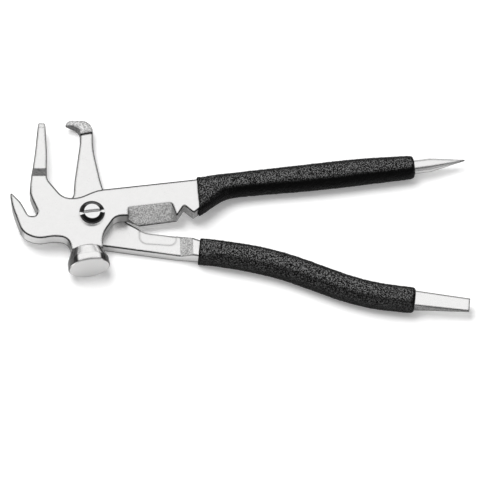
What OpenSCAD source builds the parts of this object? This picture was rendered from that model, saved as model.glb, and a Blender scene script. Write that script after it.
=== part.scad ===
// Wheel weight pliers: two forged halves that cross at a screw, with dipped grips.
// X runs along the tool towards the handles, Y across it towards the prongs, Z up from the
// surface that the tool lies on. The origin is on the pivot axis, at that surface.

/* [Forgings] */
// Thickness of the rear forging at the pivot
rear_t = 6; // [5:0.1:7]
// Thickness of the front forging at the pivot
front_t = 7.9; // [7:0.1:9]
// Running gap between the two forgings
plate_gap = 0.1; // [0.05:0.01:0.2]
// Width of the steel core inside each grip
core_w = 8.6; // [7:0.1:10]
// Thickness of the steel core inside each grip
core_t = 8; // [6:0.1:9]

/* [Pivot] */
// Diameter of the screw's shank
shank_d = 8; // [6:0.1:9]
// Running clearance of the shank in the front forging, on the radius
pivot_play = 0.05; // [0.02:0.01:0.08]
// Diameter of the screw head
head_d = 13.6; // [11:0.1:16]
// Height of the screw head above the front forging
head_h = 3.4; // [2.6:0.1:4]
// Height of the screw head's rim
rim_h = 1.6; // [1:0.1:2]
// Diameter of the raised middle of the screw head
crown_d = 8; // [6:0.1:10]
// Width of the screwdriver slot
slot_w = 1.7; // [1:0.1:2.5]
// Depth of the screwdriver slot below the head's ledge
slot_sink = 0.25; // [0.15:0.05:0.6]
// Direction of the slot, turned from the length of the tool
slot_turn = 7; // [0:1:90]
// Width of the locking nut across its flats
nut_w = 12; // [11:0.1:12.6]
// Thickness of the locking nut
nut_t = 2.4; // [1.8:0.1:2.6]
// Diameter of the washer under the nut
washer_d = 14; // [13:0.1:14.4]
// Thickness of the washer
washer_t = 0.8; // [0.4:0.1:1]
// Diameter of the recess that holds nut and washer
recess_d = 15; // [14.6:0.1:16]

/* [Claw and prong] */
// Reach of the claw tip from the pivot, to the left
claw_reach = 42.6; // [40:0.1:46]
// Height of the claw tip above the pivot
claw_rise = 14; // [12:0.1:15]
// Level of the floor of the slot between claw and prong
throat_y = -1.4; // [-3:0.1:1]
// How much the claw's top slopes down to its tip
claw_drop = 2.8; // [1:0.1:4]
// How much the claw's underside rises to its tip
claw_lift = 2.2; // [1:0.1:3]
// Left side of the front prong at its ramp
prong_x = -31.4; // [-32.5:0.1:-30.5]
// Width of the front prong at its ramp
prong_w = 8.1; // [7:0.1:9]
// Width of the front prong at its tip
prong_tip_w = 3.7; // [3:0.1:5]
// Height of the front prong's tip above the pivot
prong_top = 54.8; // [50:0.1:58]
// Level where the front prong's ramp begins
ramp_y = 21.9; // [20:0.1:24]
// Length of the front prong's ramp
ramp_run = 5.8; // [4:0.1:8]
// How far the front prong steps down at the ramp
ramp_drop = 3; // [2:0.1:4]

/* [Hammer] */
// Radius of the hammer face
hammer_r = 11; // [10:0.1:12]
// Distance of the hammer face from the pivot
hammer_reach = 30.3; // [29:0.1:33]
// Tilt of the hammer axis from straight down, towards the handles
hammer_tilt = 7.8; // [4:0.1:12]
// Sideways place of the hammer face
hammer_x = -1.8; // [-3:0.1:0]
// Length of the hammer's straight rim
rim_l = 3.6; // [3:0.1:5]
// Length over which the hammer narrows to its neck
flare_l = 6.4; // [5:0.1:7.5]
// Radius of the hammer's neck
neck_r = 8.4; // [7.6:0.1:9]
// Length of the steep end that closes the hammer behind its neck
neck_end_l = 1.6; // [1:0.1:3]
// Width of the chamfer round the hammer face
face_chamfer = 0.5; // [0.3:0.1:1]

/* [Cutter and notches] */
// Where the blade begins, from the pivot
blade_x = 19.2; // [18:0.1:20]
// Length of the blade's upper edge
blade_l = 22.8; // [20:0.1:23.5]
// Level of the blade's upper edge at its start
blade_y = 3.6; // [3:0.1:5]
// Slope of the blade's upper edge
blade_turn = 7.2; // [5:0.1:9]
// Height that stays unbevelled at the cutting edge
blade_land = 0.4; // [0.2:0.1:1]
// Depth of the first V notch
notch_depth = 5; // [4:0.1:6]

/* [Hook] */
// Level of the top of the hook
hook_top = 57.4; // [55:0.1:60]
// How far the hook tip reaches to the left of the pivot
hook_reach = 13.1; // [12:0.1:14]
// How much the hook stands above its prong
hook_step = 1.2; // [0.6:0.1:2]
// Left side of the hook's prong at its top
hook_prong_x = -5; // [-5.6:0.1:-4.6]
// Width of the hook's prong at its top
hook_prong_w = 6.6; // [6:0.1:8]

/* [Lower arm] */
// Depth of the shallow recess in the lower arm
recess_depth = 0.5; // [0.2:0.1:1]
// Where the lower arm's ramp begins, from the pivot
arm_ramp_x = 46.4; // [45:0.1:47.5]
// Length of the lower arm's ramp
arm_ramp_l = 6.1; // [5:0.1:7]
// Height of the lower arm's ramp
arm_ramp_h = 3.5; // [2.5:0.1:4]

/* [Handle ends] */
// Width of the square bar that becomes the spike
spike_w = 6.6; // [5:0.1:7.5]
// Height of that bar
spike_h = 6; // [5:0.1:7]
// Where that bar begins to taper, from the pivot
taper_x = 178; // [174:0.1:182]
// Distance of the spike's point from the pivot
spike_x = 196.3; // [190:0.1:200]
// Distance of the pry blade's end from the pivot
pry_x = 196.8; // [192:0.1:200]
// Width of the pry blade where it leaves the grip
pry_w = 8.7; // [7:0.1:9]
// Width of the pry blade at its end
pry_end_w = 7.3; // [6:0.1:8]
// Thickness of the pry blade where its taper begins, just inside the grip
pry_t = 6.9; // [5:0.1:7.4]
// Thickness of the pry blade at its end
pry_end_t = 1.2; // [0.8:0.1:2]

/* [Grips] */
// Height of the grips' middle above the surface
grip_z = 7; // [6.8:0.05:7.2]
// Rounding of the grips' front edges
grip_lip = 0.4; // [0.2:0.1:0.5]
// Rounding of the grips' rear edges
grip_nose = 2; // [1:0.1:2.4]

/* [Hidden] */
$fn = 72;

steel = "#c9c9cb";
rubber = "#232323";

// A hair of overlap for cuts that end in a face
eps = 0.01;
// Largest turn between two points of a rounded corner, and half the angle of a corner that
// counts as straight
arc_step = 10;
straight = 89;
// Reach of cuts across the whole tool, and down through its thickness
far = 300;
through = 30;

joint_z = rear_t + plate_gap;
top_z = joint_z + front_t;
recess_z = nut_t + washer_t;

prong_r = prong_x + prong_w;
prong_tip_x = prong_x + 4.3;

// Shapes from a list of corners, each with its own radius: [x, y, radius]
function flat(p) = [p[0], p[1]];
function unit(v) = v / norm(v);
function corner(a, b, c) =
    let (p = flat(b), u = unit(flat(a) - p), v = unit(flat(c) - p))
    let (half = acos(max(-1, min(1, u * v))) / 2)
    let (room = 0.5 * min(norm(flat(a) - p), norm(flat(c) - p)))
    let (r = min(b[2], room * tan(half)))
    r < 0.05 || half > straight ? [p] :
    let (centre = p + unit(u + v) * r / sin(half))
    let (first = p + u * r / tan(half) - centre, last = p + v * r / tan(half) - centre)
    let (a0 = atan2(first.y, first.x))
    let (sweep = (atan2(last.y, last.x) - a0 + 540) % 360 - 180)
    let (steps = max(1, ceil(abs(sweep) / arc_step)))
    [for (i = [0:steps]) centre + r * [cos(a0 + sweep * i / steps), sin(a0 + sweep * i / steps)]];
function rounded(path) =
    let (n = len(path))
    [for (i = [0:n - 1]) each corner(path[(i + n - 1) % n], path[i], path[(i + 1) % n])];

module slab(path, low, high) {
    translate([0, 0, low]) linear_extrude(high - low) polygon(rounded(path));
}

// Keeps what lies inside a side profile of [x, z] points
module side_profile(points) {
    translate([0, far, 0]) rotate([90, 0, 0]) linear_extrude(2 * far) polygon(points);
}

// A handle is a list of stations: [x, y, z, half width, half height, squareness, direction].
// The direction is the heading of the handle in the plane, in degrees.
function spline(a, b, c, d, t) =
    0.5 * (2 * b + (c - a) * t + (2 * a - 5 * b + 4 * c - d) * t * t
           + (3 * b - a - 3 * c + d) * t * t * t);
function station(list, t) =
    let (n = len(list) - 1, i = min(floor(t), n - 1))
    spline(list[max(i - 1, 0)], list[i], list[i + 1], list[min(i + 2, n)], t - i);
function beside(s, d) = [s[0] - d * sin(s[6]), s[1] + d * cos(s[6])];

upper_line = [
    [55.7, 11.6, 10.1, 9.9, 5.3, 8, 3.4],
    [59.2, 13.1, 9.6, 9.1, 5.6, 4.8, 4.6],
    [62.7, 15.1, 9, 8.2, 5.9, 3.5, 6],
    [68, 17.7, 8.2, 7, 6.3, 2.8, 6.9],
    [74.4, 19.5, grip_z + 0.4, 6.3, 6.7, 2.5, 7],
    [89.5, 21.5, grip_z, 6.4, 6.9, 2.4, 7],
    [110.9, 23.8, grip_z, 6.8, 7, 2.4, 7],
    [130.7, 26.2, grip_z, 6.9, 7, 2.4, 7],
    [146.9, 28.1, grip_z, 6.6, 6.9, 2.4, 6.6],
    [169.8, 30.4, grip_z, 5.8, 6.6, 2.4, 6]
];
lower_line = [
    [55.9, -18.2, 5.8, 5.9, 5.6, 8, -6],
    [62.4, -19.1, 6.5, 6.2, 6.2, 4, -7],
    [69.8, -20.4, grip_z, 6.5, 6.8, 2.9, -9],
    [85.7, -23.4, grip_z, 6.6, 7, 2.8, -13.5],
    [101.6, -27.9, grip_z, 6.6, 7, 2.8, -19],
    [117.4, -34.1, grip_z, 6.6, 7, 2.8, -21.8],
    [133.3, -40.3, grip_z, 6.6, 7, 2.8, -18.6],
    [149.3, -44.6, grip_z, 6.5, 6.9, 2.8, -11],
    [168.3, -47.1, grip_z, 6.3, 6.6, 2.8, -6]
];
// Where the plain core begins and ends, counted in stations
upper_core = [4, 8.9];
lower_core = [2, 7.5];
core_steps = 22;

function core_side(list, span, side) =
    [for (i = [0:core_steps])
        let (p = beside(station(list, span[0] + (span[1] - span[0]) * i / core_steps),
                        side * core_w / 2))
        [p.x, p.y, 0]];
function backwards(path) = [for (i = [len(path) - 1:-1:0]) path[i]];

// The web between pivot and hammer ends inside the hammer's neck
web_sink = 0.3;
web_end = rim_l + flare_l + web_sink - hammer_reach;

// Outline of the front forging, from the claw tip over the prong to the handle and back
hammer_top = [
    [-claw_reach, claw_rise, 0.5],
    [-claw_reach + 5.4, claw_rise - 6.6, 11],
    [prong_x - 1.9, throat_y, 2.2],
    [prong_x + 2, throat_y, 1.5],
    [prong_x + 3.2, throat_y + 2.9, 1.2],
    [prong_x - 1.2, ramp_y - 9.5, 14],
    [prong_x, ramp_y, 30],
    [prong_x + 2.2, 36, 60],
    [prong_tip_x, prong_top, 1.2],
    [prong_tip_x + prong_tip_w, prong_top, 1.2],
    [prong_r + 0.5, 36, 50],
    [prong_r, 20, 6],
    [-14.9, 9, 10],
    [-6.8, 9, 14],
    [3, 13.6, 18],
    [54.9, 19.85, 0]
];
hammer_bottom = [
    [67, 11.9, 8],
    [60, 6.2, 8],
    [53.3, 0.5, 0.4],
    [48.3, notch_depth - 0.1, 0.8],
    [44.6, -1, 0.4],
    [25, -3.8, 0.6],
    [19.2, -1.1, 2],
    [12.4, -1.1, 14],
    [5.2, -12, 12],
    [5.6, web_end, 1],
    [-10.6, web_end - 2, 1],
    [-12.5, -13.9, 6],
    [-20, -12.9, 16],
    [-28.6, -14.6, 12],
    [-36.6, -11, 9],
    [-41.4, 4, 30]
];
hammer_path = concat(hammer_top, core_side(upper_line, upper_core, 1),
                     backwards(core_side(upper_line, upper_core, -1)), hammer_bottom);

// Side view of the front forging: plate at the head, then down to the middle of the grip
core_low = grip_z - core_t / 2;
core_high = grip_z + core_t / 2;
hammer_side = [
    [-far, joint_z], [56, joint_z], [72, core_low], [far, core_low],
    [far, core_high], [80, core_high], [58, top_z], [-far, top_z]
];
hook_side = [
    [-far, 0], [44, 0], [54, 1.6], [70, core_low], [far, core_low],
    [far, core_high], [76, core_high], [64, rear_t + arm_ramp_h],
    [arm_ramp_x + arm_ramp_l, rear_t + arm_ramp_h], [arm_ramp_x, rear_t], [-far, rear_t]
];

// Outline of the rear forging, from the hook tip to the handle and back
hook_right = hook_prong_x + hook_prong_w;
hook_upper = [
    [-hook_reach, hook_top - 2.6, 0.5],
    [-hook_reach + 2.4, hook_top, 3],
    [hook_right, hook_top, 6.5],
    [hook_right, 41, 40],
    [6, 18, 30],
    [12, 7.5, 5],
    [18.3, -1.4, 4],
    [28, -7.3, 10],
    [46.6, -9.7, 12],
    [57, -13.6, 6]
];
hook_lower = [
    [54, -22.1, 0],
    [7, -15.1, 20],
    [-7.5, -13, 10],
    [-14.5, -5, 10],
    [-13.5, 9, 8],
    [-8.9, 14, 6],
    [-8.5, 22, 20],
    [hook_prong_x - 0.4, 43, 20],
    [hook_prong_x, 47.4, 3],
    [hook_prong_x, hook_top - 3.8, 6]
];
hook_path = concat(hook_upper, core_side(lower_line, lower_core, 1),
                   backwards(core_side(lower_line, lower_core, -1)), hook_lower);

// Cuts across claw and front prong begin left of the claw and end between prong and hook
cut_left = -60;
cut_right = -16;
tip_bevel_l = 3;
tip_bevel_turn = 25;

// Removes everything above a slope that starts at [y, z] and drops over a run towards +Y
module slope_cut(y, z, run, drop, right) {
    slope = atan2(drop, run);
    translate([cut_left, y, z]) rotate([-slope, 0, 0]) cube([right - cut_left, far, through]);
}

module prong_ramp() {
    width = cut_right - cut_left;
    intersection() {
        slope_cut(ramp_y, top_z, ramp_run, ramp_drop, cut_right);
        translate([cut_left, ramp_y - 1, 0]) cube([width, ramp_run + 1, 2 * through]);
    }
    translate([cut_left, ramp_y + ramp_run - eps, top_z - ramp_drop]) cube([width, far, through]);
}

module prong_tip_cut() {
    translate([cut_left, prong_top - tip_bevel_l, top_z - ramp_drop])
        rotate([-tip_bevel_turn, 0, 0]) cube([cut_right - cut_left, far, through]);
}

module claw_cuts() {
    run = claw_rise - throat_y;
    side = prong_x - 0.6;
    slope_cut(throat_y, top_z, run, claw_drop, side);
    slope = atan2(claw_lift, run);
    translate([cut_left, throat_y, joint_z]) rotate([slope, 0, 0]) translate([0, 0, -through])
        cube([side - cut_left, far, through]);
}

// The bevel is a 45 degree face that ends in the cutting edge, in a pocket with round corners
module blade_bevel() {
    depth = front_t - blade_land;
    translate([blade_x, blade_y, top_z]) rotate([0, 0, blade_turn]) intersection() {
        slab([[0, 0, 1], [-2.6, -20, 0], [blade_l + 3.6, -20, 0], [blade_l, 0, 2]], -depth, 1);
        rotate([45, 0, 0]) translate([-5, -40, 0]) cube([blade_l + 15, 40, 20]);
    }
}

neck_round = 0.15;
flare_round = 0.6;

module hammer_head() {
    neck = rim_l + flare_l;
    end = neck + neck_round + neck_end_l;
    profile = [
        [0, 0], [hammer_r - face_chamfer, 0], [hammer_r, face_chamfer],
        [hammer_r, rim_l - flare_round], [hammer_r - flare_round / 6, rim_l + flare_round],
        [neck_r, neck], [neck_r - neck_round, neck + neck_round], [neck_r / 3, end], [0, end]];
    translate([hammer_x, -hammer_reach, hammer_r]) rotate([0, 0, hammer_tilt])
        rotate([-90, 0, 0]) rotate_extrude() polygon(profile);
}

module bar_section(s, w, h, bevel) {
    translate([s[0], s[1], grip_z]) rotate([0, 0, s[6]]) rotate([90, 0, 90])
        linear_extrude(0.2) polygon([
            [-w / 2 + bevel, -h / 2], [w / 2 - bevel, -h / 2], [w / 2, -h / 2 + bevel],
            [w / 2, h / 2 - bevel], [w / 2 - bevel, h / 2], [-w / 2 + bevel, h / 2],
            [-w / 2, h / 2 - bevel], [-w / 2, -h / 2 + bevel]]);
}

// A square bar with bevelled edges that tapers to a point
spike_slope = 8.4;
spike_bevel = 1.2;
point_w = 0.6;
spike_root = station(upper_line, 8.6);
upper_end = upper_line[len(upper_line) - 1];
function along_spike(x) =
    [x, upper_end.y + (x - upper_end.x) * tan(spike_slope), grip_z, 0, 0, 0, spike_slope];

module spike() {
    hull() {
        bar_section(along_spike(spike_root.x), spike_w, spike_h, spike_bevel);
        bar_section(along_spike(taper_x), spike_w - 0.2, spike_h - 0.2, spike_bevel);
        bar_section(along_spike(spike_x), point_w, point_w, 0.1);
    }
}

// A flat blade, narrower and thinner towards its end
pry_slope = -5.6;
lower_end = lower_line[len(lower_line) - 1];
module pry_blade() {
    root = 12;
    root_w = pry_w - 1.6;
    taper = 4;
    length = (pry_x - lower_end.x) / cos(pry_slope);
    translate([lower_end.x, lower_end.y, grip_z]) rotate([0, 0, pry_slope]) intersection() {
        linear_extrude(core_t, center = true) polygon([
            [-root, -root_w / 2], [-taper, -pry_w / 2], [length, -pry_end_w / 2],
            [length, pry_end_w / 2], [-taper, pry_w / 2], [-root, root_w / 2]]);
        rotate([90, 0, 0]) linear_extrude(2 * pry_w, center = true) polygon([
            [-root, -pry_t / 2], [-taper, -pry_t / 2], [length, -pry_end_t / 2],
            [length, pry_end_t / 2], [-taper, pry_t / 2], [-root, pry_t / 2]]);
    }
}

// The plain forging, without its ramps, cuts and ends
module hammer_blank() {
    intersection() {
        slab(hammer_path, 0, top_z + 1);
        side_profile(hammer_side);
    }
}

module hook_blank() {
    intersection() {
        slab(hook_path, 0, 20);
        side_profile(hook_side);
    }
}

module hammer_steel() {
    difference() {
        hammer_blank();
        prong_ramp();
        prong_tip_cut();
        claw_cuts();
        blade_bevel();
    }
    spike();
}

// The hook stands above its prong, with a slanting step between them
module hook_block() {
    intersection() {
        slab(hook_path, 0, rear_t + hook_step);
        translate([-20, hook_top - 10.5, 0]) rotate([0, 0, 11]) cube([40, 20, 20]);
    }
}

// The hook's underside rises to a thin tip
module hook_underside() {
    rise = atan2(rear_t - 0.8, hook_reach + hook_prong_x);
    translate([hook_prong_x, hook_top - 12, 0]) rotate([0, rise, 0]) translate([-40, 0, -20])
        cube([40, 20, 20]);
}

module hook_steel() {
    difference() {
        union() {
            hook_blank();
            hook_block();
        }
        hook_underside();
    }
    pry_blade();
}

module hammer_half() {
    color(steel) difference() {
        union() {
            hammer_steel();
            hammer_head();
        }
        cylinder(h = 2 * through, d = shank_d + 2 * pivot_play, center = true);
    }
}

// The shallow recess faces the blade and is open at the arm's upper edge
recess_path = [[25, -4, 0], [25, -13.4, 4], [44.2, -14.8, 3.4], [44.2, -4, 0]];

module hook_half() {
    color(steel) difference() {
        hook_steel();
        cylinder(h = 2 * through, d = shank_d + eps, center = true);
        translate([0, 0, -eps]) cylinder(h = recess_z + eps, d = recess_d);
        slab(recess_path, rear_t - recess_depth, rear_t + 1);
    }
}

// The head has a narrow ledge round a raised middle, whose shoulder is steep
head_z = top_z + plate_gap;
rim_round = 0.4;
shank_bevel = 0.4;
ledge_w = 0.9;
middle_rise = 0.4;

module pivot_screw() {
    shoulder_z = head_z + rim_h;
    shoulder_r = head_d / 2 - ledge_w;
    crown_r = crown_d / 2;
    crown_z = head_z + head_h - middle_rise;
    profile = [
        [0, 0], [shank_d / 2 - shank_bevel, 0], [shank_d / 2, shank_bevel], [shank_d / 2, head_z],
        [head_d / 2, head_z], [head_d / 2, shoulder_z - rim_round],
        [head_d / 2 - rim_round, shoulder_z], [shoulder_r, shoulder_z],
        [crown_r + 0.15, crown_z - 0.1], [crown_r - 0.15, crown_z],
        [crown_r / 2, crown_z + 0.75 * middle_rise], [0, crown_z + middle_rise]];
    color(steel) difference() {
        rotate_extrude() polygon(profile);
        rotate([0, 0, slot_turn]) translate([-head_d, -slot_w / 2, head_z + rim_h - slot_sink])
            cube([2 * head_d, slot_w, head_h]);
    }
}

module pivot_nut() {
    color(steel) difference() {
        cylinder(h = nut_t, d = nut_w / cos(30), $fn = 6);
        translate([0, 0, -1]) cylinder(h = nut_t + 2, d = shank_d + eps);
    }
}

module pivot_washer() {
    color(steel) translate([0, 0, nut_t]) difference() {
        cylinder(h = washer_t, d = washer_d);
        translate([0, 0, -1]) cylinder(h = washer_t + 2, d = shank_d + 0.4);
    }
}

// A grip is a skin of rings round its stations, rounded at both ends
ring_n = 32;
ring_steps = 30;
// Distance to a squared-off circle of radius 1 at one angle, its four sides slightly crowned
crown = 0.012;
function squared(a, e) =
    (1 + crown * cos(4 * a)) * pow(pow(abs(cos(a)), e) + pow(abs(sin(a)), e), -1 / e);
// One ring round a station, drawn in by shrink and moved along the handle by shift
function ring(s, shrink, shift) = [for (k = [0:ring_n - 1])
    let (a = 360 * k / ring_n, q = squared(a, s[5]))
    let (p = beside(s, (s[3] - shrink) * q * cos(a)))
    [p.x + shift * cos(s[6]), p.y + shift * sin(s[6]), s[2] + (s[4] - shrink) * q * sin(a)]];
// Rings that round an end with radius r: side is 1 at the front and -1 at the rear
function rolled(s, r, side) = [for (i = [0:3])
    let (a = side > 0 ? i * 30 : 90 - i * 30)
    ring(s, r * (1 - sin(a)), side * r * (1 - cos(a)))];
function grip_rings(list) =
    let (n = len(list) - 1)
    concat(rolled(list[0], grip_lip, 1),
           [for (i = [1:ring_steps - 1]) ring(station(list, n * i / ring_steps), 0, 0)],
           rolled(list[n], grip_nose, -1));

module skin(rings) {
    n = ring_n;
    last = len(rings) - 1;
    points = [for (r = rings) each r];
    walls = [for (j = [0:last - 1], k = [0:n - 1]) each [
        [j * n + k, j * n + (k + 1) % n, (j + 1) * n + k],
        [j * n + (k + 1) % n, (j + 1) * n + (k + 1) % n, (j + 1) * n + k]]];
    polyhedron(points, concat(walls, [[for (k = [n - 1:-1:0]) k]],
                              [[for (k = [0:n - 1]) last * n + k]]));
}

module upper_grip() {
    color(rubber) difference() {
        skin(grip_rings(upper_line));
        hammer_blank();
        spike();
    }
}

module lower_grip() {
    color(rubber) difference() {
        skin(grip_rings(lower_line));
        hook_blank();
        pry_blade();
    }
}

hammer_half();
hook_half();
pivot_screw();
pivot_nut();
pivot_washer();
upper_grip();
lower_grip();
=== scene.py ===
"""Looks for the wheel weight pliers: camera, floor, light, materials and the two dipped grips."""
import math
from collections import namedtuple

import bpy
from mathutils import Matrix, Vector, noise


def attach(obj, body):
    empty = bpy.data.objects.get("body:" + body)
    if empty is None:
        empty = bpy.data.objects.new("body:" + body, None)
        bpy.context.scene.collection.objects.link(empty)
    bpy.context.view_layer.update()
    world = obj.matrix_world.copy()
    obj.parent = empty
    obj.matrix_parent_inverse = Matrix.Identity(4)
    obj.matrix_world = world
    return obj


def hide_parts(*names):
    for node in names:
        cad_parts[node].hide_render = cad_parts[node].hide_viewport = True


MM = 0.001

# The camera looks down at the tool, and leans to the side on which the hammer's face is.
# The picture is VIEW_WIDTH metres wide at the tool, seen through a very long lens.
TO_CAMERA = Vector((-0.052, -0.435, 0.9)).normalized()
VIEW_CENTRE = Vector((77.5, -12.0, 7.0)) * MM
VIEW_WIDTH = 0.251
SENSOR = 36.0
LENS = 1200.0
CLIP_END = 50.0

# The lamp's place and aim and the width of its disk in metres, and its power in watts
KEY_PLACE = (-0.36, 0.33, 1.4)
KEY_AIM = (0.07, 0.0, 0.0)
KEY_WIDTH = 0.9
KEY_POWER = 18.0

# Brightness of the studio in mirror images, and of the even light that it gives elsewhere
CEILING_LEVEL = 1.06
WALL_LEVEL = 0.2
GLOW_LEVEL = 0.62
FILL_LEVEL = 0.5
# The two ends of each fade. The ceiling slants down to the rear and fades out in front. The
# glow fades out towards the top and towards the rear.
CEILING_SLANT = 0.5
CEILING_FADE = (0.42, 0.72)
CEILING_FRONT = (-0.5, -0.1)
GLOW_TOP = (0.36, 0.24)
GLOW_REAR = (0.36, 0.15)

# The floor lies a hair below the tool. Its lift brings the lit floor to white.
FLOOR_SIZE = 6.0
FLOOR_DROP = 0.02 * MM
FLOOR_TONE = 0.95
FLOOR_LIFT = 0.14

# Tones of the steel, from 0 for black to 1 for white
PLATE_TONE = 0.77
# The wall tone is darker partly for the walls' as-forged finish and partly as painted shade
WALL_FINISH_AND_SHADE_TONE = 0.48
# The flank tone is a painted dark reflection on walls and round parts that look along X
FLANK_REFLECTION_TONE = 0.08
# The edge tone paints dark lines along the edges, a painted reflection of the dark studio in
# their rounding
EDGE_REFLECTION_TONE = 0.03
FACE_TONE = 0.66
# The ledge tone paints the screw head black round its raised middle, a painted dark reflection
LEDGE_REFLECTION_TONE = 0.04
SCREW_TONE = 0.8
NUT_TONE = 0.66

# Roughness of the steel, from 0 for a mirror to 1 for dull
SATIN_ROUGHNESS = 0.24
POLISH_ROUGHNESS = 0.2
FACE_ROUGHNESS = 0.4
FORGED_ROUGHNESS = 0.6
SCREW_ROUGHNESS = 0.08
NUT_ROUGHNESS = 0.2

# How metallic the hammer's ground face and the as-forged areas are
FACE_METAL = 0.4
FORGED_METAL = 0.25

# Width of the steel's mottling, grain and pits and of the screw's haze
MOTTLE_SIZE = 2.6 * MM
GRAIN_SIZE = 0.7 * MM
PIT_SIZE = 0.75 * MM
HAZE_SIZE = 1.5 * MM

# Height of the bumps, and radius of the rounding that the edges seem to have
STEEL_BUMP = 0.25 * MM
SCREW_BUMP = 0.02 * MM
VINYL_BUMP = 0.6 * MM
STEEL_EDGE = 1.9 * MM
SCREW_EDGE = 0.25 * MM
VINYL_EDGE = 3.5 * MM

# Share of the painted dark edge lines, a painted reflection of the dark studio in rounded edges,
# that polished steel keeps, and that a faint box loses
POLISH_LINES = 0.7
FAINT_SHARE = 0.75

# Going towards -Y, satin steel turns into polished steel between these two levels
POLISH_FROM = -17.5 * MM
POLISH_TO = -19.5 * MM
# The hammer's head lies below this level and left of this place
HEAD_Y = -18.5 * MM
HEAD_X = 12.0 * MM
# The way that the hammer's face looks
FACE_DIRECTION = (0.136, -0.99, 0.0)
# Bends sharper than this, in radians, stay hard
SMOOTH_ANGLE = 0.62

# The screw's head is painted black round its raised middle, as a painted dark reflection, outside
# this radius and above this level, both in millimetres
LEDGE_RADIUS = 4.2
LEDGE_LEVEL = 15.5

# Black vinyl: its tone, the tone and width of its painted highlight specks, the width of its fine
# grain, and how it reflects
VINYL_TONE = 0.0025
HIGHLIGHT_SPECK_TONE = 0.2
SPECK_SIZE = 0.6 * MM
VINYL_GRAIN = 0.4 * MM
VINYL_ROUGHNESS = 0.25
VINYL_IOR = 1.2
VINYL_SPECULAR = 0.12
# The way that the low side of a grip looks, and how strong the painted specks are there on the
# lower grip, where they stand in for a reflection of the floor
LOW_SIDE = (0.0, -0.87, 0.5)
LOWER_REFLECTION_SPECKS = 0.4

# The skin of the grips: size of its mesh cells, and its smoothing
VOXEL = 0.32 * MM
SMOOTH_FACTOR = 0.5
SMOOTH_ROUNDS = 4
# Its wrinkles, whose heights are in millimetres. The shift keeps the wide ones from lining up
# with the fine ones.
FINE_WIDTH = 0.95 * MM
FINE_HEIGHT = 0.16
WIDE_WIDTH = 2.4 * MM
WIDE_HEIGHT = 0.10
WIDE_SHIFT = Vector((7.0, 3.0, 1.0))
# The crease along the lower grip: how far the skin leans from +Z there and over how many
# degrees the crease spreads, and its depth in millimetres
CREASE_LEAN = 42.0
CREASE_WIDTH = 9.0
LOWER_CREASE = 0.35

# An as-forged area: a box in millimetres, the way that its surface looks or None for all of it,
# how strong it is from 0 to 1, and its dark and light tones
Area = namedtuple("Area", "low high direction share dark light")

HAMMER_AREAS = [
    # Bevel of the cutting blade
    Area((14.0, -9.0, 5.0), (46.0, 9.0, 13.9), (0.09, -0.70, 0.71), 1.0, 0.30, 0.72),
    # Ramp of the front prong
    Area((-34.0, 20.0, 5.0), (-20.0, 29.0, 14.2), (0.0, 0.46, 0.89), 1.0, 0.05, 0.20),
    # Tip of the front prong
    Area((-30.0, 51.0, 5.0), (-20.0, 56.0, 14.2), None, 0.4, 0.30, 0.90),
    # Walls of the V notches
    Area((41.6, -6.0, 5.0), (55.5, 4.6, 13.6), None, 0.9, 0.28, 0.50),
]
HOOK_AREAS = [
    # Ramp of the lower arm
    Area((44.0, -30.0, 5.5), (55.0, -5.0, 9.6), (-0.5, 0.0, 0.87), 1.0, 0.27, 0.60),
    # Top of the hook
    Area((-14.0, 45.8, 6.9), (3.0, 60.0, 9.0), None, 0.8, 0.22, 0.80),
    # Walls of the hook under its top, as far as the prong
    Area((-14.0, 44.0, -1.0), (-5.2, 55.2, 6.9), None, 1.0, 0.04, 0.25),
    # Wall of the pry blade
    Area((165.0, -60.0, -1.0), (200.0, -40.0, 9.0), (-0.14, -0.99, 0.0), 0.9, 0.10, 0.30),
]
# Box round the shallow recess, whose edges hardly show
RECESS_BOX = ((23.0, -17.0, 5.0), (46.0, -6.0, 6.5))


def add_node(tree, kind, values=None, **settings):
    """Adds a node. values sets its sockets by name or index, or links them to other sockets."""
    node = tree.nodes.new(kind)
    for name, value in settings.items():
        setattr(node, name, value)
    for key, value in (values or {}).items():
        socket = node.inputs[key]
        if isinstance(value, bpy.types.NodeSocket):
            tree.links.new(value, socket)
        else:
            socket.default_value = value
    return node


def math_node(tree, operation, a, b=0.0):
    return add_node(tree, "ShaderNodeMath", {0: a, 1: b}, operation=operation).outputs[0]


def smooth_step(tree, value, low, high):
    """0 below low, 1 above high, smooth between them. low may be the larger one."""
    node = add_node(tree, "ShaderNodeMapRange",
                    {"Value": value, "From Min": low, "From Max": high},
                    interpolation_type="SMOOTHSTEP")
    return node.outputs["Result"]


def mix_values(tree, factor, a, b):
    node = add_node(tree, "ShaderNodeMix", {0: factor, 2: a, 3: b}, data_type="FLOAT")
    return node.outputs[0]


def noise_value(tree, where, size, detail=2.0, roughness=0.5):
    """Noise from 0 to 1 whose features are about size metres across."""
    node = add_node(tree, "ShaderNodeTexNoise",
                    {"Vector": where, "Scale": 1.0 / size, "Detail": detail,
                     "Roughness": roughness})
    return node.outputs[0]


def split(tree, vector):
    return add_node(tree, "ShaderNodeSeparateXYZ", {0: vector}).outputs


def facing(tree, normal, direction):
    """How far a normal points along a direction, from -1 to 1."""
    node = add_node(tree, "ShaderNodeVectorMath", {0: normal, 1: direction},
                    operation="DOT_PRODUCT")
    return node.outputs["Value"]


def grey(value):
    return (value, value, value, 1.0)


def new_material(name):
    material = bpy.data.materials.new(name)
    material.use_nodes = True
    tree = material.node_tree
    tree.nodes.clear()
    shader = add_node(tree, "ShaderNodeBsdfPrincipled")
    output = add_node(tree, "ShaderNodeOutputMaterial")
    tree.links.new(shader.outputs[0], output.inputs["Surface"])
    return material, tree, shader


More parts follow.
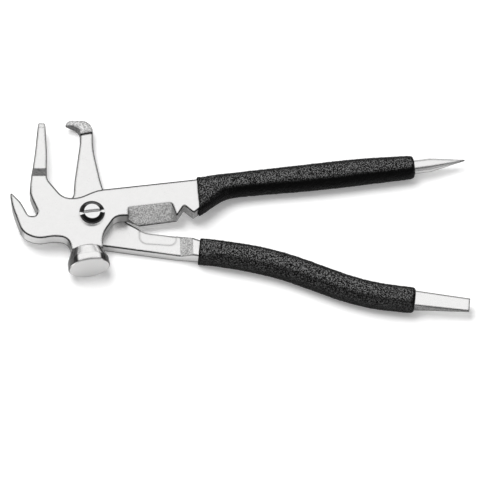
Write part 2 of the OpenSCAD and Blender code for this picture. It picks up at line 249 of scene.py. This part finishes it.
def link_colour(tree, shader, red, green, blue):
    colour = add_node(tree, "ShaderNodeCombineColor", {0: red, 1: green, 2: blue})
    tree.links.new(colour.outputs[0], shader.inputs["Base Color"])


def bump(tree, shader, height, distance, normal=None):
    """Bumps of a height, on the surface's own normal or on a softened one."""
    values = {"Height": height, "Distance": distance}
    if normal is not None:
        values["Normal"] = normal
    node = add_node(tree, "ShaderNodeBump", values)
    tree.links.new(node.outputs[0], shader.inputs["Normal"])


def rounded_normal(tree, radius):
    """The normal as if edges were rounded."""
    return add_node(tree, "ShaderNodeBevel", {"Radius": radius}, samples=8).outputs[0]


def edge_mask(tree, rounded):
    """1 along the edges, where the rounded normal leaves the surface's own."""
    plain = add_node(tree, "ShaderNodeNewGeometry").outputs["True Normal"]
    return smooth_step(tree, facing(tree, rounded, plain), 0.995, 0.95)


def box_mask(tree, place, low, high, soft=0.2):
    """1 inside a box given in millimetres, falling to 0 outside it over a soft margin."""
    inside = 1.0
    for value, start, end in zip(place, low, high):
        rise = smooth_step(tree, value, (start - soft) * MM, (start + soft) * MM)
        fall = smooth_step(tree, value, (end + soft) * MM, (end - soft) * MM)
        inside = math_node(tree, "MULTIPLY", inside, math_node(tree, "MULTIPLY", rise, fall))
    return inside


def direction_mask(tree, normal, direction):
    """1 where the surface looks along a direction, 0 where it turns away from it."""
    toward = facing(tree, normal, Vector(direction).normalized())
    return smooth_step(tree, toward, 0.95, 0.98)


def ledge_mask(tree, place, radius, level):
    """1 outside a radius round the pivot and above a level, both in millimetres."""
    across = add_node(tree, "ShaderNodeVectorMath", {0: place, 1: (1.0, 1.0, 0.0)},
                      operation="MULTIPLY").outputs[0]
    reach = add_node(tree, "ShaderNodeVectorMath", {0: across}, operation="LENGTH")
    outside = smooth_step(tree, reach.outputs["Value"], (radius - 0.1) * MM, (radius + 0.1) * MM)
    above = smooth_step(tree, split(tree, place)["Z"], (level - 0.05) * MM, (level + 0.05) * MM)
    return math_node(tree, "MULTIPLY", outside, above)


def steel_material(name, areas, faint=(), face=None):
    """Satin plated steel with as-forged areas, painted dark edge lines and painted dark
    reflections on its flanks. faint are boxes in which the painted edge lines are weakened and
    hardly show. face is the way that the ground face of the hammer looks."""
    material, tree, shader = new_material(name)
    where = add_node(tree, "ShaderNodeTexCoord")
    place = where.outputs["Object"]
    normal = where.outputs["Normal"]
    x, y, z = split(tree, place)
    mottle = noise_value(tree, place, MOTTLE_SIZE, 4.0, 0.6)
    grain = noise_value(tree, place, GRAIN_SIZE, 3.0, 0.65)
    pits = noise_value(tree, place, PIT_SIZE, 3.0, 0.7)

    upward = math_node(tree, "ABSOLUTE", split(tree, normal)["Z"])
    side = smooth_step(tree, upward, 0.25, 0.1)
    polish = smooth_step(tree, y, POLISH_FROM, POLISH_TO)
    rounded = rounded_normal(tree, STEEL_EDGE)
    # Painted dark lines along the edges, standing in for reflections of the dark studio in
    # rounded edges; weaker in the faint boxes and on polished steel
    edge_reflection = edge_mask(tree, rounded)
    for low, high in faint:
        fainter = math_node(tree, "MULTIPLY", box_mask(tree, (x, y, z), low, high), FAINT_SHARE)
        edge_reflection = math_node(tree, "MULTIPLY", edge_reflection, math_node(tree, "SUBTRACT", 1.0, fainter))
    edge_reflection = math_node(tree, "MULTIPLY", edge_reflection, mix_values(tree, polish, 1.0, POLISH_LINES))

    # Plates are light, walls darker, partly for their as-forged finish and partly as painted
    # shade, and walls and round parts that look along X are painted nearly black as a painted
    # dark reflection
    tone = math_node(tree, "ADD", math_node(tree, "MULTIPLY", mottle, 0.07),
                     math_node(tree, "MULTIPLY", grain, 0.05))
    value = mix_values(tree, side, math_node(tree, "ADD", tone, PLATE_TONE),
                       math_node(tree, "ADD", tone, WALL_FINISH_AND_SHADE_TONE))
    # Painted dark reflection: walls and the hammer head's round flanks that look along X are
    # painted nearly black
    along = math_node(tree, "ABSOLUTE", facing(tree, normal, (1.0, 0.0, 0.0)))
    flank_reflection = mix_values(tree, polish, smooth_step(tree, along, 0.6, 0.9),
                       smooth_step(tree, along, 0.5, 0.6))
    flank_reflection = math_node(tree, "MULTIPLY", flank_reflection, math_node(tree, "MAXIMUM", side, polish))
    value = mix_values(tree, flank_reflection, value, FLANK_REFLECTION_TONE)
    value = mix_values(tree, edge_reflection, value, EDGE_REFLECTION_TONE)
    ground = None
    if face:
        ground = math_node(tree, "MULTIPLY", direction_mask(tree, normal, face), polish)
        value = mix_values(tree, ground, value, FACE_TONE)

    # The pits of an as-forged area take its dark tone, and what stands between them the light one
    raised = smooth_step(tree, pits, 0.40, 0.60)
    forged = 0.0
    for area in areas:
        inside = box_mask(tree, (x, y, z), area.low, area.high)
        if area.direction:
            looks = direction_mask(tree, normal, area.direction)
            inside = math_node(tree, "MULTIPLY", inside, looks)
        inside = math_node(tree, "MULTIPLY", inside, area.share)
        skin = mix_values(tree, raised, area.dark, area.light)
        value = mix_values(tree, inside, value, skin)
        forged = math_node(tree, "MAXIMUM", inside, forged)
    # A trace warmer than grey
    link_colour(tree, shader, value, math_node(tree, "MULTIPLY", value, 0.995),
                math_node(tree, "MULTIPLY", value, 0.99))

    metallic = mix_values(tree, forged, 1.0, FORGED_METAL)
    roughness = math_node(tree, "ADD", math_node(tree, "MULTIPLY", grain, 0.10), SATIN_ROUGHNESS)
    roughness = mix_values(tree, polish, roughness, POLISH_ROUGHNESS)
    if face:
        metallic = mix_values(tree, ground, metallic, FACE_METAL)
        roughness = mix_values(tree, ground, roughness, FACE_ROUGHNESS)
    roughness = mix_values(tree, forged, roughness, FORGED_ROUGHNESS)
    tree.links.new(metallic, shader.inputs["Metallic"])
    tree.links.new(roughness, shader.inputs["Roughness"])

    fine = math_node(tree, "MULTIPLY", grain, mix_values(tree, polish, 0.10, 0.02))
    deep = math_node(tree, "MULTIPLY", pits, forged)
    bump(tree, shader, math_node(tree, "ADD", fine, deep), STEEL_BUMP, rounded)
    return material


def chrome_material(name, tone, dullness, ledge=None):
    """Polished steel. ledge gives the radius and the level from which the head is painted black,
    as a painted dark reflection.
    """
    material, tree, shader = new_material(name)
    place = add_node(tree, "ShaderNodeTexCoord").outputs["Object"]
    haze = noise_value(tree, place, HAZE_SIZE, 3.0)
    value = math_node(tree, "ADD", math_node(tree, "MULTIPLY", haze, 0.06), tone)
    if ledge:
        # Painted dark reflection: the ledge round the screw head's raised middle is painted
        # nearly black
        value = mix_values(tree, ledge_mask(tree, place, *ledge), value, LEDGE_REFLECTION_TONE)
    link_colour(tree, shader, value, value, value)
    shader.inputs["Metallic"].default_value = 1.0
    roughness = math_node(tree, "ADD", math_node(tree, "MULTIPLY", haze, 0.06), dullness)
    tree.links.new(roughness, shader.inputs["Roughness"])
    bump(tree, shader, haze, SCREW_BUMP, rounded_normal(tree, SCREW_EDGE))
    return material


def vinyl_material(name, low_reflection_share):
    """Black dipped vinyl with painted highlight specks where its skin faces up or down, which
    stand in for the light that its wrinkles catch. low_reflection_share is how strong the painted
    specks are on the side that leans towards -Y, where they stand in for a reflection of the
    floor."""
    material, tree, shader = new_material(name)
    place = add_node(tree, "ShaderNodeTexCoord").outputs["Object"]
    coarse = noise_value(tree, place, SPECK_SIZE, 2.0, 0.6)
    fine = noise_value(tree, place, VINYL_GRAIN, 2.0, 0.6)
    # Painted highlight: specks of light tone only where the skin faces up or down
    highlight_speck = smooth_step(tree, coarse, 0.47, 0.61)
    rounded = rounded_normal(tree, VINYL_EDGE)
    up = math_node(tree, "ABSOLUTE", split(tree, rounded)["Z"])
    up = smooth_step(tree, up, 0.80, 0.98)
    # Painted reflection of the floor: on the lower grip the specks also go on the side that leans
    # towards -Y
    low_reflection = smooth_step(tree, facing(tree, rounded, LOW_SIDE), 0.8, 0.95)
    low_reflection = math_node(tree, "MULTIPLY", low_reflection, low_reflection_share)
    highlight_speck = math_node(tree, "MULTIPLY", highlight_speck, math_node(tree, "MAXIMUM", up, low_reflection))
    value = mix_values(tree, highlight_speck, VINYL_TONE, HIGHLIGHT_SPECK_TONE)
    link_colour(tree, shader, value, value, value)
    roughness = math_node(tree, "ADD", math_node(tree, "MULTIPLY", fine, 0.10), VINYL_ROUGHNESS)
    tree.links.new(roughness, shader.inputs["Roughness"])
    shader.inputs["IOR"].default_value = VINYL_IOR
    shader.inputs["Specular IOR Level"].default_value = VINYL_SPECULAR
    height = math_node(tree, "ADD", coarse, math_node(tree, "MULTIPLY", fine, 0.25))
    bump(tree, shader, height, VINYL_BUMP)
    return material


def floor_material():
    """A pale floor that keeps the shadow. Camera and mirror rays see it lifted to white."""
    material = bpy.data.materials.new("floor_white")
    material.use_nodes = True
    tree = material.node_tree
    tree.nodes.clear()
    diffuse = add_node(tree, "ShaderNodeBsdfDiffuse", {"Color": grey(FLOOR_TONE)})
    path = add_node(tree, "ShaderNodeLightPath").outputs
    seen = math_node(tree, "MAXIMUM", path["Is Camera Ray"], path["Is Glossy Ray"])
    strength = math_node(tree, "MULTIPLY", seen, FLOOR_LIFT)
    lift = add_node(tree, "ShaderNodeEmission", {"Color": grey(1.0), "Strength": strength})
    both = add_node(tree, "ShaderNodeAddShader", {0: diffuse.outputs[0], 1: lift.outputs[0]})
    output = add_node(tree, "ShaderNodeOutputMaterial")
    tree.links.new(both.outputs[0], output.inputs["Surface"])
    return material


def set_world():
    """A studio: a wide soft ceiling, darker walls with a glow low down in front and at the
    sides, and white behind what the camera sees."""
    world = bpy.data.worlds.new("studio")
    bpy.context.scene.world = world
    world.use_nodes = True
    tree = world.node_tree
    tree.nodes.clear()
    way = split(tree, add_node(tree, "ShaderNodeTexCoord").outputs["Generated"])
    rear = math_node(tree, "MULTIPLY", way["Y"], CEILING_SLANT)
    height = math_node(tree, "ADD", way["Z"], rear)
    ceiling = math_node(tree, "MULTIPLY", smooth_step(tree, height, *CEILING_FADE),
                        smooth_step(tree, way["Y"], *CEILING_FRONT))
    glow = math_node(tree, "MULTIPLY", smooth_step(tree, way["Z"], *GLOW_TOP),
                     smooth_step(tree, way["Y"], *GLOW_REAR))
    walls = mix_values(tree, glow, WALL_LEVEL, GLOW_LEVEL)
    mirrored = mix_values(tree, ceiling, walls, CEILING_LEVEL)
    path = add_node(tree, "ShaderNodeLightPath").outputs
    level = mix_values(tree, path["Is Glossy Ray"], FILL_LEVEL, mirrored)
    level = mix_values(tree, path["Is Camera Ray"], level, 1.0)
    background = add_node(tree, "ShaderNodeBackground", {"Color": grey(1.0), "Strength": level})
    output = add_node(tree, "ShaderNodeOutputWorld")
    tree.links.new(background.outputs[0], output.inputs["Surface"])


def add_lamp(name, place, target, width, power):
    """A round lamp that mirror rays don't see."""
    light = bpy.data.lights.new(name, "AREA")
    light.shape = "DISK"
    light.size = width
    light.energy = power
    lamp = bpy.data.objects.new(name, light)
    bpy.context.scene.collection.objects.link(lamp)
    lamp.location = place
    aim = Vector(target) - Vector(place)
    lamp.rotation_euler = aim.to_track_quat("-Z", "Y").to_euler()
    lamp.visible_glossy = False


def add_camera():
    data = bpy.data.cameras.new("camera")
    data.sensor_width = SENSOR
    data.lens = LENS
    data.clip_end = CLIP_END
    camera = bpy.data.objects.new("camera", data)
    bpy.context.scene.collection.objects.link(camera)
    distance = VIEW_WIDTH * LENS / SENSOR
    # The tool's length lies level in the picture
    up = TO_CAMERA.cross(Vector((1, 0, 0))).normalized()
    right = up.cross(TO_CAMERA)
    turn = Matrix((right, up, TO_CAMERA)).transposed()
    camera.matrix_world = Matrix.Translation(VIEW_CENTRE + TO_CAMERA * distance) @ turn.to_4x4()
    bpy.context.scene.camera = camera


def add_floor():
    mesh = bpy.data.meshes.new("floor")
    half = FLOOR_SIZE / 2
    mesh.from_pydata([(-half, -half, 0), (half, -half, 0), (half, half, 0), (-half, half, 0)],
                     [], [(0, 1, 2, 3)])
    floor = bpy.data.objects.new("floor", mesh)
    bpy.context.scene.collection.objects.link(floor)
    floor.location.z = -FLOOR_DROP
    mesh.materials.append(floor_material())


def smoothing_group(angle):
    """Smooth shading of walls and of the hammer's head. Edges sharper than the angle stay hard,
    and so do the flat faces that look along Z, which keep one tone."""
    group = bpy.data.node_groups.new("smooth_by_angle", "GeometryNodeTree")
    group.interface.new_socket("Geometry", in_out="INPUT", socket_type="NodeSocketGeometry")
    group.interface.new_socket("Geometry", in_out="OUTPUT", socket_type="NodeSocketGeometry")
    start = add_node(group, "NodeGroupInput")
    bend = add_node(group, "GeometryNodeInputMeshEdgeAngle").outputs["Unsigned Angle"]
    sharp = math_node(group, "GREATER_THAN", bend, angle)
    up = split(group, add_node(group, "GeometryNodeInputNormal").outputs["Normal"])["Z"]
    wall = math_node(group, "LESS_THAN", math_node(group, "ABSOLUTE", up), 0.1)
    place = split(group, add_node(group, "GeometryNodeInputPosition").outputs[0])
    head = math_node(group, "MULTIPLY", math_node(group, "LESS_THAN", place["Y"], HEAD_Y),
                     math_node(group, "LESS_THAN", place["X"], HEAD_X))
    curved = math_node(group, "MAXIMUM", wall, head)
    flat = add_node(group, "GeometryNodeSetShadeSmooth",
                    {"Geometry": start.outputs[0], "Shade Smooth": False}, domain="FACE")
    faces = add_node(group, "GeometryNodeSetShadeSmooth",
                     {"Geometry": flat.outputs[0], "Selection": curved, "Shade Smooth": True},
                     domain="FACE")
    edges = add_node(group, "GeometryNodeSetShadeSmooth",
                     {"Geometry": faces.outputs[0], "Selection": sharp, "Shade Smooth": False},
                     domain="EDGE")
    add_node(group, "NodeGroupOutput", {0: edges.outputs[0]})
    return group


def paint(node, material):
    for slot in node.material_slots:
        slot.material = material
    if not node.material_slots:
        node.data.materials.append(material)


def wrinkle(point):
    """Height of the vinyl's wrinkles at a point, in millimetres."""
    fine = noise.noise(point / FINE_WIDTH)
    wide = noise.noise(point / WIDE_WIDTH + WIDE_SHIFT)
    return FINE_HEIGHT * fine + WIDE_HEIGHT * wide


def crease(normal, depth):
    """Depth of the lengthwise crease, which runs where the surface leans towards -Y."""
    if normal.y >= 0:
        return 0.0
    lean = math.degrees(math.atan2(math.hypot(normal.x, normal.y), normal.z))
    return depth * math.exp(-((lean - CREASE_LEAN) / CREASE_WIDTH) ** 2)


def add_grip(node_name, body, material, crease_depth):
    """A grip with a wrinkled skin, made from the CAD grip's own solid."""
    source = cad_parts[node_name]
    piece = bpy.data.objects.new(node_name + "_skin", source.data.copy())
    bpy.context.scene.collection.objects.link(piece)
    remesh = piece.modifiers.new("remesh", "REMESH")
    remesh.mode = "VOXEL"
    remesh.voxel_size = VOXEL
    remesh.use_smooth_shade = True
    smooth = piece.modifiers.new("smooth", "SMOOTH")
    smooth.factor = SMOOTH_FACTOR
    smooth.iterations = SMOOTH_ROUNDS
    bpy.context.view_layer.update()
    evaluated = piece.evaluated_get(bpy.context.evaluated_depsgraph_get())
    mesh = bpy.data.meshes.new_from_object(evaluated)
    piece.modifiers.clear()
    piece.data = mesh
    # All new places are worked out before any vertex moves. None lies below the plane Z = 0.
    moved = []
    for vertex in mesh.vertices:
        height = wrinkle(vertex.co) - crease(vertex.normal, crease_depth)
        point = vertex.co + vertex.normal * height * MM
        point.z = max(point.z, 0.0)
        moved.append(point)
    mesh.vertices.foreach_set("co", [value for point in moved for value in point])
    mesh.update()
    mesh.materials.clear()
    mesh.materials.append(material)
    for polygon in mesh.polygons:
        polygon.use_smooth = True
    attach(piece, body)
    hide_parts(node_name)


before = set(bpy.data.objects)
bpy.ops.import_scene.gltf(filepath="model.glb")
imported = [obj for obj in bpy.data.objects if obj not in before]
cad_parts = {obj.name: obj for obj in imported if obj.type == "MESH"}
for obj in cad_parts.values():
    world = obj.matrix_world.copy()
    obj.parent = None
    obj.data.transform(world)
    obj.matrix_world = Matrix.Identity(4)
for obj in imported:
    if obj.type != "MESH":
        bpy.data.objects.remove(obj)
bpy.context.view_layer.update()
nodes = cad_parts

bpy.context.scene.view_settings.view_transform = "Standard"
add_camera()
set_world()
add_lamp("key", KEY_PLACE, KEY_AIM, KEY_WIDTH, KEY_POWER)
add_floor()

hammer_steel = steel_material("hammer_steel", HAMMER_AREAS, face=FACE_DIRECTION)
hook_steel = steel_material("hook_steel", HOOK_AREAS, faint=[RECESS_BOX])
screw_steel = chrome_material("screw_steel", SCREW_TONE, SCREW_ROUGHNESS,
                              ledge=(LEDGE_RADIUS, LEDGE_LEVEL))
nut_steel = chrome_material("nut_steel", NUT_TONE, NUT_ROUGHNESS)
upper_vinyl = vinyl_material("grip_vinyl", 0.0)
lower_vinyl = vinyl_material("grip_vinyl_low", LOWER_REFLECTION_SPECKS)

paint(nodes["hammer_half"], hammer_steel)
paint(nodes["hook_half"], hook_steel)
paint(nodes["pivot_screw"], screw_steel)
paint(nodes["pivot_nut"], nut_steel)
paint(nodes["pivot_washer"], nut_steel)
smoothing = smoothing_group(SMOOTH_ANGLE)
for name in ("hammer_half", "hook_half"):
    nodes[name].modifiers.new("shading", "NODES").node_group = smoothing
add_grip("upper_grip", "hammer_side", upper_vinyl, 0.0)
add_grip("lower_grip", "hook_side", lower_vinyl, LOWER_CREASE)
